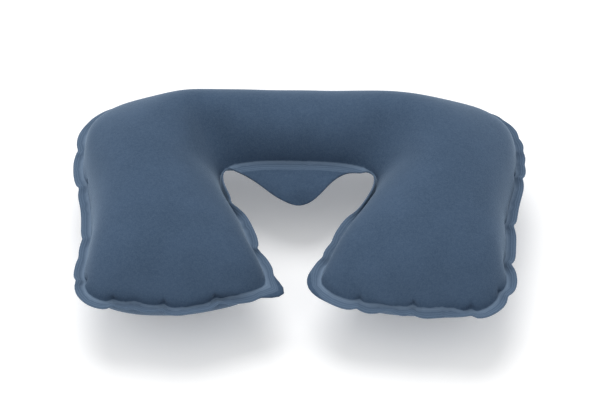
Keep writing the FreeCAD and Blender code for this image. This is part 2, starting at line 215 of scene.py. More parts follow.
# Colours: the flock's darker and lighter patches, its speckle, its paler crushed pile at the weld with a
# painted highlight (also painted light on the margin), and its sheen.
FLOCK_DARK = (0.037, 0.067, 0.117, 1)
FLOCK_LIGHT = (0.047, 0.082, 0.141, 1)
FLOCK_SPECKLE = (0.092, 0.142, 0.215, 1)
# Paler colour: crushed pile at the weld with a painted highlight, and painted light on the margin
FLOCK_CRUSHED_AND_LIT = (0.15, 0.215, 0.305, 1)
FLOCK_SHEEN = (0.66, 0.83, 1, 1)
WELD_CRUSH_AND_HIGHLIGHT = 0.7           # share of the paler colour on the weld band: crushed pile, with a painted highlight on it
# share of the paler colour on the margin: painted light, where the bulge shades it
MARGIN_PAINTED_LIGHT = 0.29
WELD_LINES = 2.1 * MM     # from one pressed line to the next

# Colours of the valve's vinyl, and of its clear flap.
VINYL_DARK, VINYL_LIGHT = (0.036, 0.066, 0.118, 1), (0.048, 0.084, 0.146, 1)
CLEAR_DARK, CLEAR_LIGHT = (0.52, 0.6, 0.68, 1), (0.66, 0.72, 0.78, 1)

# Camera and light.
VIEW_ELEVATION = 48
VIEW_TURN = 0.6
VIEW_DISTANCE = 2.0
VIEW_SHIFT = Vector((1 * MM, 0, 1.6 * MM))  # from the pillow's middle to where the camera aims
VIEW_WIDTH = 0.370        # a width at the aim, and the share of the view that it fills
VIEW_FILLED = 0.748
SENSOR = 36
FLOOR_HALF = 6
FLOOR_GLOW = 0.22
STUDIO_LIGHT = 0.7


# ---------------------------------------------------------------- flat pattern

def rounded(corners, step=2 * MM):
    """Closed outline through corners (x, y, radius), its corners drawn as arcs."""
    points = []
    for i, (x, y, radius) in enumerate(corners):
        corner = np.array([x, y], float)
        back = np.array(corners[i - 1][:2], float) - corner
        ahead = np.array(corners[(i + 1) % len(corners)][:2], float) - corner
        back /= np.linalg.norm(back)
        ahead /= np.linalg.norm(ahead)
        half = math.acos(np.clip(back @ ahead, -1, 1)) / 2
        if radius <= 0 or half > math.pi / 2 - 1e-3:
            points.append(corner)
            continue
        middle = (back + ahead) / np.linalg.norm(back + ahead) * (radius / math.sin(half)) + corner
        first = corner + back * radius / math.tan(half) - middle
        last = corner + ahead * radius / math.tan(half) - middle
        start = math.atan2(first[1], first[0])
        turn = (math.atan2(last[1], last[0]) - start + math.pi) % (2 * math.pi) - math.pi
        pieces = max(2, int(abs(turn) * radius / step))
        angles = start + turn * np.arange(pieces + 1) / pieces
        points += list(middle + radius * np.stack([np.cos(angles), np.sin(angles)], 1))
    return np.array(points)


def evenly(loop, step):
    """The same closed outline with points about a step apart."""
    closed = np.vstack([loop, loop[:1]])
    along = np.concatenate([[0], np.cumsum(np.linalg.norm(np.diff(closed, axis=0), axis=1))])
    count = round(along[-1] / step)
    places = np.arange(count) * along[-1] / count
    return np.stack([np.interp(places, along, closed[:, axis]) for axis in (0, 1)], 1)


def outward(loop):
    """Unit vectors out of an anticlockwise outline."""
    along = np.roll(loop, -1, 0) - np.roll(loop, 1, 0)
    along /= np.linalg.norm(along, axis=1)[:, None]
    return np.stack([along[:, 1], -along[:, 0]], 1)


def inside(loop, points):
    """True for each point within a closed outline."""
    x, y = points.T
    found = np.zeros(len(points), bool)
    for (x0, y0), (x1, y1) in zip(loop, np.roll(loop, -1, 0)):
        crosses = (y0 > y) != (y1 > y)
        rise = y1 - y0 if y1 != y0 else 1.0
        found ^= crosses & (x < (x1 - x0) * (y - y0) / rise + x0)
    return found


def distance_to(loop, points):
    """Distance of each point from a closed outline."""
    best = np.full(len(points), np.inf)
    for start, end in zip(loop, np.roll(loop, -1, 0)):
        run = end - start
        share = np.clip((points - start) @ run / (run @ run), 0, 1)
        best = np.minimum(best, np.linalg.norm(points - start - share[:, None] * run, axis=1))
    return best


def smooth_step(low, high, value):
    """0 below low, 1 above high, and a smooth rise between."""
    share = np.clip((value - low) / (high - low), 0, 1)
    return share * share * (3 - 2 * share)


def weld_outline():
    """Inner edge of the weld on the flat pattern."""
    right = [(x * CUT, y * CUT, r * CUT) for x, y, r in OUTSIDE]
    left = [(-x, y, r) for x, y, r in reversed(right)]
    notch = [(x * CUT, y * CUT, r * CUT) for x, y, r in NOTCH]
    notch_left = [(-x, y, r) for x, y, r in reversed(notch)]
    weld = evenly(rounded(right + left + notch_left + notch), STEP)
    return leaning(weld)


def leaning(flat):
    """Shift the two arms sideways, more and more towards their ends."""
    x, y = flat.T
    lean = np.where(x > 0, LEAN_RIGHT, LEAN_LEFT) * smooth_step(LEAN_START, LEAN_FULL, y)
    return np.stack([x + lean, y], 1)


def cut_outline(weld):
    """Edge of the films: the weld moved out by the margin, with pointed inner tips and the nape tab."""
    x, y = weld.T
    in_notch = smooth_step(*NARROWING, y) * (np.abs(x) < NOTCH_X + STEP)
    width = MARGIN + (MARGIN_NOTCH - MARGIN) * in_notch
    tip_x = np.where(x > 0, TIP_X + LEAN_RIGHT, -TIP_X + LEAN_LEFT)
    from_tip = np.hypot(x - tip_x, y - ARM_END)
    width = width + TIP_POINT * np.exp(-(from_tip / TIP_ROUND) ** 2)
    cut = weld + outward(weld) * width[:, None]
    top = (np.abs(x) < NOTCH_X - TAB_CORNER) & (np.abs(y - NOTCH_Y) < NOTCH_NEAR)
    tab = TAB_DROP * np.exp(-np.abs((x - TAB_SIDE) / TAB_WIDE) ** TAB_SQUARE)
    cut[top, 1] = (NOTCH_Y - MARGIN_NOTCH - tab)[top]
    return cut


def scattered(low, high, random):
    """A hexagonal grid of points, each moved a little at random."""
    rows = np.arange(low[1], high[1], STEP * math.sqrt(3) / 2)
    grid = [(x, y) for j, y in enumerate(rows)
            for x in np.arange(low[0] + (j % 2) * STEP / 2, high[0], STEP)]
    return np.array(grid) + random.normal(0, SCATTER, (len(grid), 2))


def triangles(points, loops):
    """Delaunay triangles of the points, anticlockwise, with each loop (first, count) kept as edges."""
    edges = [(first + i, first + (i + 1) % count) for first, count in loops for i in range(count)]
    made = delaunay_2d_cdt([Vector(p) for p in points], edges, [], 0, 1e-9)
    if len(made[0]) != len(points):
        raise RuntimeError("the flat pattern crosses itself")
    tris = np.array([face for face in made[2] if len(face) == 3])
    a, b, c = (points[tris[:, i]] for i in range(3))
    turn = (b[:, 0] - a[:, 0]) * (c[:, 1] - a[:, 1]) - (b[:, 1] - a[:, 1]) * (c[:, 0] - a[:, 0])
    tris[turn < 0] = tris[turn < 0][:, ::-1]
    return tris[np.abs(turn) > 1e-10]


def cut_films():
    """The two films, laid flat on each other: points, and triangles of both bulges and the margin."""
    random = np.random.default_rng(SCATTER_SEED)
    weld = weld_outline()
    cut = cut_outline(weld)
    band = weld + outward(weld) * WELD_WIDE
    count = len(weld)

    grid = scattered(weld.min(0), weld.max(0), random)
    upper = grid[inside(weld, grid) & (distance_to(weld, grid) > CLEAR)]
    angles = np.arange(HOLE_POINTS) * 2 * math.pi / HOLE_POINTS
    ring = np.stack([np.cos(angles), np.sin(angles)], 1)
    rings = [VALVE_FLAT + radius * ring for radius in HOLE_RINGS]
    from_valve = np.linalg.norm(upper - VALVE_FLAT, axis=1)
    lower = np.vstack(rings + [upper[from_valve > HOLE_RINGS[-1] + STEP / 2]]
                      + [upper[from_valve < HOLE_RINGS[0] - STEP / 2]])
    tab_half, tab_deep = TAB_AREA
    tab_grid = scattered((-tab_half, NOTCH_Y - tab_deep), (tab_half, NOTCH_Y), random)
    clear = (distance_to(cut, tab_grid) > CLEAR) & (distance_to(band, tab_grid) > CLEAR)
    margin = np.vstack([band, cut, tab_grid[inside(cut, tab_grid) & ~inside(band, tab_grid) & clear]])

    def meshed(own, loops):
        """Triangles over the weld's points and some others, and the triangles' centres."""
        points = np.vstack([weld, own])
        tris = triangles(points, loops)
        return tris, points[tris].mean(1)

    top, centres = meshed(upper, [(0, count)])
    top = top[inside(weld, centres)]
    hole = [(count + i * HOLE_POINTS, HOLE_POINTS) for i in range(len(rings))]
    under, centres = meshed(lower, [(0, count)] + hole)
    under = under[inside(weld, centres)]
    skirt, centres = meshed(margin, [(i * count, count) for i in range(3)])
    skirt = skirt[inside(cut, centres) & ~inside(weld, centres)]

    flat = np.vstack([weld, margin, upper, lower])
    margin_end, upper_end = count + len(margin), count + len(margin) + len(upper)
    top = np.where(top < count, top, top - count + margin_end)
    under = np.where(under < count, under, under - count + upper_end)[:, ::-1]
    signed = distance_to(weld, flat) * np.where(np.arange(len(flat)) < margin_end, -1, 1)
    signed[:count] = 0
    from_valve = np.linalg.norm(flat - VALVE_FLAT, axis=1)
    return {"flat": flat, "from_weld": signed, "upper": top, "lower": under, "margin": skirt, "weld": count,
            "margin_end": margin_end, "upper_end": upper_end, "from_valve": from_valve}


# ---------------------------------------------------------------- inflation

def blown_up(films):
    """Points of the films once air fills them, by cloth simulation with pressure and no gravity."""
    flat, count = films["flat"], films["weld"]
    points = np.column_stack([flat, np.zeros(len(flat))])
    points[films["margin_end"]:, 2] = START_GAP
    points[films["upper_end"]:, 2] = -START_GAP
    ripple = np.random.default_rng(RIPPLE_SEED).normal(0, RIPPLE, films["margin_end"] - count)
    points[count:films["margin_end"], 2] = ripple
    faces = np.vstack([films["upper"], films["lower"], films["margin"]])

    mesh = bpy.data.meshes.new("films")
    mesh.from_pydata((points * SIM_SCALE).tolist(), [], faces.tolist())
    films_object = bpy.data.objects.new("films", mesh)
    bpy.context.scene.collection.objects.link(films_object)
    air = films_object.vertex_groups.new(name="air")
    air.add(list(range(count)), WELD_AIR, "REPLACE")
    air.add(list(range(films["margin_end"], len(points))), 1.0, "REPLACE")

    cloth = films_object.modifiers.new("cloth", "CLOTH")
    film = cloth.settings
    film.quality = 8
    film.mass = 0.3
    film.tension_stiffness = film.compression_stiffness = 5
    film.shear_stiffness = 1
    film.bending_stiffness = 10
    film.tension_damping = film.compression_damping = film.shear_damping = 15
    film.bending_damping = 0.5
    film.air_damping = 3
    film.use_pressure = True
    film.uniform_pressure_force = 8
    film.vertex_group_pressure = "air"
    film.effector_weights.gravity = 0
    cloth.collision_settings.use_collision = False
    cloth.collision_settings.use_self_collision = False
    cloth.point_cache.frame_start = 1
    cloth.point_cache.frame_end = SIM_FRAMES
    scene = bpy.context.scene
    scene.frame_start = 1
    scene.frame_end = SIM_FRAMES
    for step in range(1, SIM_FRAMES + 1):
        scene.frame_set(step)
    shaped = films_object.evaluated_get(bpy.context.evaluated_depsgraph_get()).to_mesh()
    blown = read_points(shaped) / SIM_SCALE
    bpy.data.objects.remove(films_object)
    scene.frame_set(1)
    return blown


def read_points(mesh):
    flat = np.zeros(len(mesh.vertices) * 3)
    mesh.vertices.foreach_get("co", flat)
    return flat.reshape(-1, 3)


def along_ring(values, spread):
    """Values round the weld, smoothed over a spread of ring points, with no shrinking at the corners."""
    reach = np.arange(-4 * spread, 4 * spread + 1)
    weights = np.exp(-0.5 * (reach / spread) ** 2)
    weights /= weights.sum()

    def blurred(field):
        return sum(weight * np.roll(field, -shift, 0) for weight, shift in zip(weights, reach))

    once = blurred(values)
    return once + blurred(values - once)


def units(vectors):
    return vectors / np.linalg.norm(vectors, axis=1)[:, None]


def weld_run(points, films):
    """Unit vectors along the weld, one at each weld point."""
    ring = points[:films["weld"]]
    return units(np.roll(ring, -1, 0) - np.roll(ring, 1, 0))


def leading_out(points, films):
    """At each weld point, the direction out of the pillow, between the two films and near the level."""
    count = films["weld"]
    total = np.zeros((count, 3))
    for side in ("upper", "lower"):
        edges = ring_spokes(films, side)
        mean = np.zeros((count, 3))
        np.add.at(mean, edges[:, 0], points[edges[:, 1]] - points[edges[:, 0]])
        total -= units(mean)
    run = weld_run(points, films)
    level = units(np.cross(run, (0, 0, 1)))
    out = along_ring(units(units(total) + LEVEL_SHARE * level), TURN_SPREAD)
    return units(out - (out * run).sum(1)[:, None] * run)


def edges_of(tris):
    """The triangles' edges, each in both directions."""
    edges = np.vstack([tris[:, [0, 1]], tris[:, [1, 2]], tris[:, [2, 0]]])
    return np.vstack([edges, edges[:, ::-1]])


def ring_spokes(films, side):
    """Edges of one bulge from a weld point to a point that isn't on the weld."""
    edges = edges_of(films[side])
    return edges[(edges[:, 0] < films["weld"]) & (edges[:, 1] >= films["weld"])]


def nearest_weld(films, flat):
    """Index of the weld point that lies nearest to each flat point."""
    weld = films["flat"][:films["weld"]]
    parts = [flat[first:first + 4000] for first in range(0, len(flat), 4000)]
    return np.concatenate([np.linalg.norm(part[:, None] - weld[None], axis=2).argmin(1) for part in parts])


def along_weld(films, flat):
    """Distance along the weld, from its first point to the place beside each flat point."""
    weld = films["flat"][:films["weld"]]
    ahead = np.roll(weld, -1, 0)
    lengths = np.linalg.norm(ahead - weld, axis=1)
    start = np.concatenate([[0], np.cumsum(lengths)[:-1]])
    near = nearest_weld(films, flat)
    best, place = np.full(len(flat), np.inf), np.zeros(len(flat))
    for segment in (near, near - 1):
        run = (ahead - weld)[segment]
        share = np.clip(((flat - weld[segment]) * run).sum(1) / (run * run).sum(1), 0, 1)
        gap = np.linalg.norm(flat - weld[segment] - share[:, None] * run, axis=1)
        place = np.where(gap < best, start[segment] + share * lengths[segment], place)
        best = np.minimum(best, gap)
    return place, lengths.sum()


def from_gather(films, flat):
    """Distance along the weld from each flat point to the nearest gather."""
    place, length = along_weld(films, flat)
    gathers, _ = along_weld(films, leaning(np.array(GATHERS) * CUT))
    apart = np.abs((place[:, None] - gathers[None] + length / 2) % length - length / 2)
    return apart.min(1)


def calmed(points, films):
    """Take most of the depth out of the puckers along the weld, and gather the margin into lobes."""
    near = nearest_weld(films, films["flat"])
    gather = np.exp(-(from_gather(films, films["flat"]) / GATHER_WIDE) ** 2)
    margin = np.flatnonzero(films["from_weld"] < 0)
    reach = np.exp(-(np.abs(films["from_weld"]) / PUCKER_REACH) ** 2)
    reach[margin] = 1
    moved = points + weld_shift(points, films, gather)[near] * reach[:, None]
    moved[margin] = laid_margin(moved, films, margin, near[margin], gather[margin])
    x, y = films["flat"].T
    moved[:, 0] += LEFT_IN * (x < 0) * smooth_step(LEAN_START, LEAN_FULL, y)
    return moved


def weld_shift(points, films, gather):
    """How far each weld point moves: puckers out, gathers in, arms' ends forward, arms' roots in."""
    count = films["weld"]
    ring = points[:count]
    x, y = films["flat"][:count].T
    out = leading_out(points, films)
    shift = (along_ring(ring, PUCKER_SPREAD) - ring) * (1 - PUCKER_KEEP)
    shift -= out * (GATHER_IN * gather[:count])[:, None]
    at, swell = np.array(FRONT_SWELL).T * MM
    shift[:, 1] -= along_ring(np.interp(x, at, swell) * (y < FRONT_FROM * ARM_END), SHAPE_SPREAD)
    side_in = SIDE_IN * np.exp(-((y - SIDE_AT) / SIDE_REACH) ** 2) * (np.abs(x) > 2 * NOTCH_X)
    shift[:, 0] -= np.sign(x) * along_ring(side_in, SHAPE_SPREAD)
    return shift


def laid_margin(points, films, margin, beside, gather):
    """Places of the margin's points: turned out from the weld point beside each, and folded down."""
    out = leading_out(points, films)
    down = np.cross(out, weld_run(points, films))
    offset = points[margin] - points[beside]
    length = np.linalg.norm(offset, axis=1)
    x, y = films["flat"][beside].T
    from_tip = np.hypot(x + TIP_X - LEAN_LEFT, y - ARM_END)
    drawn_out = TIP_PULL * np.exp(-(from_tip / TIP_PULL_WIDE) ** 2)
    drawn_in = TIP_PULL * np.exp(-((from_tip - TIP_FLANK) / TIP_FLANK_WIDE) ** 2)
    length *= 1 + drawn_out - drawn_in

    x, y = films["flat"][margin].T
    in_neck = (np.abs(x) < NOTCH_X) & (y > NECK_FRONT)
    on_tab = in_neck * smooth_step(*TAB_START, length)
    straight = out[beside] * length[:, None]
    turn = (MARGIN_OUT * (1 - on_tab))[:, None]
    offset = units(offset + turn * (straight - offset) + 1e-12) * length[:, None]
    facing = outward(films["flat"][:films["weld"]])[beside]
    fold = GATHER_FOLD * gather * (1 - on_tab)
    fold += FOLD_DEEP * np.abs(facing[:, 0]) * in_neck_sides(films["flat"][beside])
    offset += down[beside] * (fold * length / MARGIN)[:, None]
    laid = points[beside] + units(offset) * length[:, None]

    down_tab = np.maximum(length - MARGIN_NOTCH, 0) * in_neck / TAB_DROP
    laid[:, 2] -= TAB_SAG * down_tab ** 2
    laid[:, 1] += TAB_BACK * down_tab ** 2
    laid[:, 0] += (TAB_LEAN + TAB_SPREAD * (x - TAB_SIDE)) * down_tab
    return laid


def in_neck_sides(flat):
    """1 beside the neck opening's inner end, where the margin is folded under, and 0 elsewhere."""
    x, y = flat.T
    behind_tips = smooth_step(*FOLD_FRONT, y)
    before_tab = 1 - smooth_step(*FOLD_BACK, y)
    return behind_tips * before_tab * (np.abs(x) < NOTCH_X + FOLD_BESIDE)


def eased(points, films):
    """Take the sharp creases out of the bulges and leave their swell: Taubin smoothing, none at the weld."""
    edges = edges_of(np.vstack([films["upper"], films["lower"]]))
    size = len(points)
    neighbours = np.maximum(np.bincount(edges[:, 0], minlength=size), 1)
    loose = smooth_step(0, EASE_FREE, films["from_weld"])
    columns = [points[:, axis].copy() for axis in range(3)]
    for _ in range(EASE_ROUNDS):
        for pull in EASE_PULLS:
            for column in columns:
                mean = np.bincount(edges[:, 0], weights=column[edges[:, 1]], minlength=size) / neighbours
                column += loose * pull * (mean - column)
    return np.stack(columns, 1)


def placed(points, films):
    """Stand the pillow in the row frame, pressed flat where the arms touch the ground."""
    weld = points[:films["weld"]]
    points = points - [(weld[:, 0].min() + weld[:, 0].max()) / 2, 0, weld[:, 2].mean()]
    middle = (points[:, 1].min() + points[:, 1].max()) / 2
    points[:, 1] += (CAD_LOW.y + CAD_HIGH.y) / 2 - middle
    points[:, 2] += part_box("upper_skin")[0].z
    lift = (points[:, 2] - FILM) / GROUND_SOFT
    points[:, 2] = FILM + GROUND_SOFT * np.logaddexp(0, lift)
    return seated_on_valve(points, films)


def valve_frame():
    """The valve's frame at rest: its origin, X along the back tube, Y round the tube and Z out of it."""
    joints = {joint["name"]: joint for joint in frame["record"]["behaviour"]["joints"]}
    side, out = Vector((1, 0, 0)), Vector(joints["plug_pull"]["axis"]).normalized()
    turned = Matrix((side, out.cross(side), out)).transposed().to_4x4()
    turned.translation = Vector(joints["flap_swing"]["pos_m"]) - turned.to_3x3() @ FLAP_HINGE
    return turned


def seated_on_valve(points, films):
    """Lay the lower film on the valve's round seat, and let it run out from there."""
    side, around, out = (np.array(VALVE.col[i].xyz) for i in range(3))
    centre = np.array(VALVE.translation) - out * TUBE_RADIUS
    lower = np.unique(films["lower"])
    lower = lower[lower >= films["weld"]]
    beside, above = (films["flat"][lower] - VALVE_FLAT).T
    turn = (above / TUBE_RADIUS)[:, None]
    radial = out * np.cos(turn) - around * np.sin(turn)
    seat = centre + side * beside[:, None] + radial * (TUBE_RADIUS - FILM)
    hold = 1 - smooth_step(HOLE_RINGS[-1], VALVE_REACH, np.hypot(beside, above))
    points[lower] += hold[:, None] * (seat - points[lower])
    return points


# ---------------------------------------------------------------- films

def set_attribute(mesh, name, kind, values):
    """A value or vector kept on each point of a mesh."""
    key = "value" if kind == "FLOAT" else "vector"
    mesh.attributes.new(name, kind, "POINT").data.foreach_set(key, np.ravel(values).astype(np.float32))


def get_attribute(mesh, name, width=1):
    """The same, read back: a value a point, or vectors of that width."""
    values = np.zeros(len(mesh.vertices) * width, np.float32)
    mesh.attributes[name].data.foreach_get("value" if width == 1 else "vector", values)
    return values if width == 1 else values.reshape(-1, width)


def new_object(name, mesh):
    """An object for a mesh, in the scene."""
    piece = bpy.data.objects.new(name, mesh)
    bpy.context.scene.collection.objects.link(piece)
    return piece


def finished(piece):
    """Apply the piece's modifiers to its mesh."""
    mesh = bpy.data.meshes.new_from_object(piece.evaluated_get(bpy.context.evaluated_depsgraph_get()))
    piece.modifiers.clear()
    piece.data = mesh
    mesh.name = piece.name
    mesh.polygons.foreach_set("use_smooth", np.ones(len(mesh.polygons), bool))


def subdivide(piece):
    """Round the piece off with one subdivision."""
    smooth = piece.modifiers.new("smooth", "SUBSURF")
    smooth.levels = smooth.render_levels = 1
    finished(piece)


def finer_at_weld(piece):
    """Split the edges in the margin and near the weld, where the detail is."""
    shape = bmesh.new()
    shape.from_mesh(piece.data)
    layer = shape.verts.layers.float["from_weld"]
    edges = [edge for edge in shape.edges if max(vert[layer] for vert in edge.verts) < FINE_REACH]
    bmesh.ops.subdivide_edges(shape, edges=edges, cuts=1, use_grid_fill=True)
    shape.to_mesh(piece.data)
    shape.free()


def pressed(piece, films):
    """Press the weld band into the film and crease the bulge at each gather."""
    mesh = piece.data
    flat = get_attribute(mesh, "flat", 3)[:, :2].astype(float)
    depth = get_attribute(mesh, "from_weld").astype(float)
    normals = np.zeros(len(mesh.vertices) * 3)
    mesh.vertex_normals.foreach_get("vector", normals)
    near = np.flatnonzero((depth > -3 * WELD_WIDE) & (depth < PINCH_LONG))
    fade = 1 - np.clip(depth[near] / PINCH_LONG, 0, 1)
    apart = from_gather(films, flat[near])
    wide = PINCH_WIDE * (PINCH_NARROW + (1 - PINCH_NARROW) * fade)
    crease = PINCH_DEEP * fade * np.exp(-(apart / wide) ** 2)
    crease *= smooth_step(0, PINCH_START, depth[near])
    band = WELD_DEEP * smooth_step(-WELD_WIDE - WELD_SLOPE, -WELD_WIDE, depth[near])
    band *= 1 - smooth_step(*WELD_INNER, depth[near])
    points = read_points(mesh)
    points[near] -= normals.reshape(-1, 3)[near] * (crease + band)[:, None]
    mesh.vertices.foreach_set("co", points.ravel())


def film_piece(name, points, films, faces, side):
    """One film as its own mesh, bulge and margin, thickened outwards; side is 1 above and -1 below."""
    margin = films["margin"] if side > 0 else films["margin"][:, ::-1]
    faces = np.vstack([faces, margin])
    used = np.unique(faces)
    number = np.zeros(len(points), int)
    number[used] = np.arange(len(used))
    mesh = bpy.data.meshes.new(name)
    mesh.from_pydata(points[used].tolist(), [], number[faces].tolist())
    set_attribute(mesh, "from_weld", "FLOAT", films["from_weld"][used])
    set_attribute(mesh, "flat", "FLOAT_VECTOR", np.column_stack([films["flat"][used], np.zeros(len(used))]))
    piece = new_object(name, mesh)
    subdivide(piece)
    finer_at_weld(piece)
    pressed(piece, films)
    wall = piece.modifiers.new("wall", "SOLIDIFY")
    wall.thickness = FILM
    wall.offset = 1
    finished(piece)
    lay_flat_map(piece.data)
    return piece


def lay_flat_map(mesh):
    """UV map of the film as it was cut, in metres."""
    corners = np.zeros(len(mesh.loops), np.int32)
    mesh.loops.foreach_get("vertex_index", corners)
    layer = mesh.uv_layers.new(name="flat")
    layer.data.foreach_set("uv", get_attribute(mesh, "flat", 3)[corners, :2].ravel())


# ---------------------------------------------------------------- finishes

def new_group(name, inputs, outputs):
    """A shader node group with inputs (name, socket type, value) and outputs that are all floats."""
    group = bpy.data.node_groups.new(name, "ShaderNodeTree")
    for title, kind, value in inputs:
        group.interface.new_socket(title, in_out="INPUT", socket_type=kind).default_value = value
    for title in outputs:
        group.interface.new_socket(title, in_out="OUTPUT", socket_type="NodeSocketFloat")
    return group, group.nodes.new("NodeGroupInput"), group.nodes.new("NodeGroupOutput")


def add(tree, kind, sockets=None, **settings):
    """A node with its settings, and its inputs set to values or linked from other sockets."""
    node = tree.nodes.new(kind)
    for key, value in settings.items():
        setattr(node, key, value)
    for key, value in (sockets or {}).items():
        if isinstance(value, bpy.types.NodeSocket):
            tree.links.new(value, node.inputs[key])
        else:
            node.inputs[key].default_value = value
    return node


def maths(tree, operation, first, second):
    return add(tree, "ShaderNodeMath", {0: first, 1: second}, operation=operation).outputs[0]


def ramp(tree, value, low, high, start=0.0, end=1.0):
    """Value from low to high turned into start to end, smoothly."""
    node = add(tree, "ShaderNodeMapRange", {"Value": value, "From Min": low, "From Max": high,
                                            "To Min": start, "To Max": end}, interpolation_type="SMOOTHSTEP")
    return node.outputs["Result"]


def blend_colour(tree, share, first, second):
    return add(tree, "ShaderNodeMix", {0: share, 6: first, 7: second}, data_type="RGBA").outputs[2]


def make_grain():
    """Unevenness for any surface, as two masks: a fine speckle, and broad patches."""
    group, given, wanted = new_group("grain", [
        ("Place", "NodeSocketVector", (0, 0, 0)), ("Speckle per metre", "NodeSocketFloat", 1500),
        ("Patches per metre", "NodeSocketFloat", 60)], ["Speckle", "Patches"])
    place = given.outputs["Place"]
    speckle = add(group, "ShaderNodeTexNoise", {"Vector": place, "Scale": given.outputs["Speckle per metre"],
                                                "Detail": 2.5, "Roughness": 0.7})
    patches = add(group, "ShaderNodeTexNoise", {"Vector": place, "Scale": given.outputs["Patches per metre"],
                                                "Detail": 4, "Roughness": 0.55})
    group.links.new(ramp(group, speckle.outputs[0], 0.3, 0.7), wanted.inputs["Speckle"])
    group.links.new(ramp(group, patches.outputs[0], 0.32, 0.68), wanted.inputs["Patches"])
    return group


def make_weld_marks():
    """Where the films are melted together: the band, and fine lines that the electrode leaves along it."""
    group, given, wanted = new_group("weld_marks", [
        ("From weld", "NodeSocketFloat", 0), ("Band", "NodeSocketFloat", WELD_WIDE)], ["Band", "Lines"])
    from_weld = given.outputs["From weld"]
    outer = ramp(group, maths(group, "ADD", from_weld, given.outputs["Band"]), -0.4 * MM, 0.5 * MM)
    inner = ramp(group, from_weld, -0.2 * MM, 0.9 * MM, 1, 0)
    group.links.new(maths(group, "MULTIPLY", outer, inner), wanted.inputs["Band"])
    wave = maths(group, "SINE", maths(group, "MULTIPLY", from_weld, 2 * math.pi / WELD_LINES), 0.0)
    group.links.new(ramp(group, wave, -1, 1), wanted.inputs["Lines"])
    return group


def new_material(name, **constants):
    """A node material with its shader's constants set, and the socket of its place on the piece."""
    material = bpy.data.materials.new(name)
    material.use_nodes = True
    tree = material.node_tree
    shader = tree.nodes["Principled BSDF"]
    for key, value in constants.items():
        shader.inputs[key.replace("_", " ").title().replace("Ior", "IOR")].default_value = value
    place = add(tree, "ShaderNodeTexCoord").outputs["Object"]
    return material, tree, shader, place


def use_group(tree, group, **sockets):
    """A node group placed in a tree, with its inputs named as words joined by underscores."""
    named = {key.replace("_", " "): value for key, value in sockets.items()}
    return add(tree, "ShaderNodeGroup", named, node_tree=group).outputs


def make_flock(grain, weld_marks):
    """Short-pile flock on film: speckled, brushed in patches, crushed to a paler line at the weld with a
    painted highlight there, and painted lighter on the margin, where the bulge shades it.
    """
    material, tree, shader, place = new_material(
        "flocked_film", sheen_weight=0.34, sheen_roughness=0.38, sheen_tint=FLOCK_SHEEN,
        specular_ior_level=0.18)

    def share(value, part):
        return maths(tree, "MULTIPLY", value, part)

    def total(first, second):
        return maths(tree, "ADD", first, second)

    nap = use_group(tree, grain, Place=place, Speckle_per_metre=1000, Patches_per_metre=42)
    broad = use_group(tree, grain, Place=place, Speckle_per_metre=380, Patches_per_metre=11)
    from_weld = add(tree, "ShaderNodeAttribute", attribute_name="from_weld").outputs["Fac"]
    marks = use_group(tree, weld_marks, From_weld=from_weld)
    band, lines = marks["Band"], marks["Lines"]
    brushed = total(share(nap["Patches"], 0.45), share(broad["Patches"], 0.55))
    colour = blend_colour(tree, brushed, FLOCK_DARK, FLOCK_LIGHT)
    pale = total(share(nap["Speckle"], 0.27), share(broad["Speckle"], 0.16))
    colour = blend_colour(tree, pale, colour, FLOCK_SPECKLE)
    # Painted light on the margin, which lies in the bulge's shade, and a painted highlight on the crushed
    # weld band: both blend towards the paler colour.
    margin = share(ramp(tree, from_weld, -12 * MM, -9 * MM), ramp(tree, from_weld, -2 * MM, 0.5 * MM, 1, 0))
    crushed_highlit_weld = share(band, total(share(lines, 0.25), WELD_CRUSH_AND_HIGHLIGHT))
    painted_light_on_margin = share(margin, total(share(lines, 0.26), MARGIN_PAINTED_LIGHT))
    colour = blend_colour(tree, maths(tree, "MAXIMUM", crushed_highlit_weld, painted_light_on_margin), colour, FLOCK_CRUSHED_AND_LIT)
    tree.links.new(colour, shader.inputs["Base Color"])
    tree.links.new(maths(tree, "SUBTRACT", 0.95, share(band, 0.25)), shader.inputs["Roughness"])
    pile = total(share(nap["Speckle"], 0.16), share(broad["Speckle"], 0.12))
    ridges = share(share(maths(tree, "MAXIMUM", band, margin), lines), 0.3)
    height = total(maths(tree, "SUBTRACT", pile, share(band, 0.3)), ridges)
    bump = add(tree, "ShaderNodeBump", {"Height": height, "Strength": 0.6, "Distance": 0.5 * MM})
    tree.links.new(bump.outputs[0], shader.inputs["Normal"])
    return material


def make_moulding(grain, name, dark, light, roughness, **constants):
    """Soft moulded vinyl: satin, faintly uneven in colour and gloss."""
    material, tree, shader, place = new_material(name, **constants)
    skin = use_group(tree, grain, Place=place, Speckle_per_metre=2600, Patches_per_metre=190)
    tree.links.new(blend_colour(tree, skin["Patches"], dark, light), shader.inputs["Base Color"])
    gloss = maths(tree, "MULTIPLY", skin["Patches"], 0.12)
    tree.links.new(maths(tree, "ADD", gloss, roughness), shader.inputs["Roughness"])
    height = maths(tree, "ADD", maths(tree, "MULTIPLY", skin["Speckle"], 0.2), skin["Patches"])
    bump = add(tree, "ShaderNodeBump", {"Height": height, "Strength": 0.25, "Distance": 0.1 * MM})
    tree.links.new(bump.outputs[0], shader.inputs["Normal"])
    return material


# ---------------------------------------------------------------- valve

def on_valve(radius, angle, height):
    """A point in the row frame from its radius, angle and height in the valve's frame."""
    return VALVE @ Vector((radius * math.cos(angle), radius * math.sin(angle), height))


def turned_shell(name, profile, count=64):
    """A closed shape turned round the valve's axis; its profile (radius, height) runs anticlockwise."""
    points = [on_valve(radius, 2 * math.pi * turn / count, height)
              for turn in range(count) for radius, height in profile]
    size = len(profile)
    faces = [((turn * size + i), ((turn + 1) % count * size + i),
              ((turn + 1) % count * size + (i + 1) % size), (turn * size + (i + 1) % size))
             for turn in range(count) for i in range(size)]
    return solid_piece(name, points, faces)


